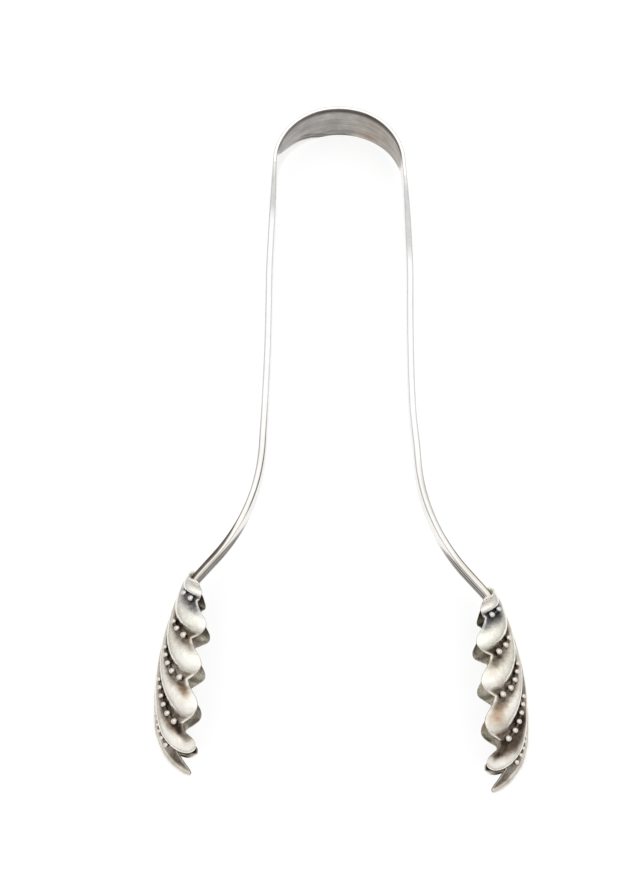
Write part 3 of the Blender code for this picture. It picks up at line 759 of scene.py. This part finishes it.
def add_floor():
    """A pale floor that takes the shadow; its glow is for the camera and for reflections only."""
    finish = bpy.data.materials.new("pale_floor")
    finish.use_nodes = True
    tree = finish.node_tree
    tree.nodes.remove(tree.nodes["Principled BSDF"])
    diffuse, glow, both = (tree.nodes.new("ShaderNode" + k) for k in ("BsdfDiffuse", "Emission", "AddShader"))
    diffuse.inputs["Color"].default_value = FLOOR_COLOUR
    rays = tree.nodes.new("ShaderNodeLightPath")
    seen, also, scaled = (tree.nodes.new("ShaderNodeMath") for _ in range(3))
    scaled.operation = "MULTIPLY"
    scaled.inputs[1].default_value = FLOOR_GLOW
    tree.links.new(rays.outputs["Is Camera Ray"], seen.inputs[0])
    tree.links.new(rays.outputs["Is Glossy Ray"], seen.inputs[1])
    tree.links.new(seen.outputs[0], also.inputs[0])
    tree.links.new(rays.outputs["Is Transmission Ray"], also.inputs[1])
    also.use_clamp = True
    tree.links.new(also.outputs[0], scaled.inputs[0])
    tree.links.new(scaled.outputs[0], glow.inputs["Strength"])
    tree.links.new(diffuse.outputs[0], both.inputs[0])
    tree.links.new(glow.outputs[0], both.inputs[1])
    tree.links.new(both.outputs[0], tree.nodes["Material Output"].inputs["Surface"])
    half = FLOOR_HALF
    mesh = bpy.data.meshes.new("floor")
    mesh.from_pydata([(-half, -half, 0), (half, -half, 0), (half, half, 0), (-half, half, 0)], [], [(0, 1, 2, 3)])
    mesh.materials.append(finish)
    floor = bpy.data.objects.new("floor", mesh)
    floor.location.z = -FLOOR_DROP
    bpy.context.scene.collection.objects.link(floor)


def light_room():
    """A pale room that is bright overhead and dimmer towards the horizon, and one soft lamp."""
    world = bpy.data.worlds.new("room")
    bpy.context.scene.world = world
    world.use_nodes = True
    tree = world.node_tree
    shade = tree.nodes["Background"]
    facing = tree.nodes.new("ShaderNodeTexCoord")
    height = tree.nodes.new("ShaderNodeSeparateXYZ")
    ramp = tree.nodes.new("ShaderNodeValToRGB")
    tree.links.new(facing.outputs["Generated"], height.inputs[0])
    tree.links.new(height.outputs["Z"], ramp.inputs["Fac"])
    tree.links.new(ramp.outputs["Color"], shade.inputs["Color"])
    for at, level in ROOM_LEVELS:
        ramp.color_ramp.elements.new(at).color = (level, level, level, 1)
    ramp.color_ramp.elements[0].color = HORIZON
    ramp.color_ramp.elements[-1].color = OVERHEAD
    lamp = bpy.data.lights.new("soft_lamp", "AREA")
    lamp.energy, lamp.size = LAMP_POWER, LAMP_SIZE
    holder = bpy.data.objects.new("soft_lamp", lamp)
    holder.location = LAMP_PLACE
    holder.rotation_euler = LAMP_TURN
    bpy.context.scene.collection.objects.link(holder)


def add_camera():
    """The photograph's view: 19.5 degrees off straight down, from the claws' side."""
    forward = np.array((0.0, math.sin(CAMERA_TILT), -math.cos(CAMERA_TILT)))
    lens = bpy.data.cameras.new("camera")
    lens.sensor_width, lens.sensor_height, lens.sensor_fit = SENSOR, SENSOR, "AUTO"
    lens.lens = FOCAL_PIXELS * SENSOR / PICTURE_HEIGHT
    lens.shift_x = SHIFT_PIXELS / PICTURE_HEIGHT
    lens.clip_start = 0.01
    camera = bpy.data.objects.new("camera", lens)
    camera.location = np.array(CAMERA_TARGET) - CAMERA_AWAY * forward
    camera.rotation_euler = (CAMERA_TILT, 0, 0)
    bpy.context.scene.collection.objects.link(camera)
    bpy.context.scene.camera = camera


def main():
    bow_finish = silver("worn_bow_silver", (0.95, 0.93, 0.90), 0.5, 0.35, 0.20, 0.5)
    arm_finish = silver("arm_silver_worn_and_painted_reflections", (0.95, 0.93, 0.90), 0.3, 0.3, 0.16, 0.5)
    shell_finish = silver("shell_silver_tarnished_and_painted_shade", (0.94, 0.91, 0.85), 0.15, 1.25, 0.20, 8.0)
    bead_finish = silver("bead_silver_painted_shade", (0.88, 0.82, 0.73), 0.0, 0.5, 0.20, 1.0)
    for side in (LEFT, RIGHT):
        add_bow_half(side, bow_finish)
        add_arm_strip(side, arm_finish)
        add_shell_cup(side, shell_finish)
        for valley in range(FLUTES_A_SIDE):
            for face in (1, -1):
                add_beaded_wire(side, face, valley, bead_finish)
    add_floor()
    light_room()
    add_camera()
    bpy.context.scene.view_settings.view_transform = "Standard"


main()
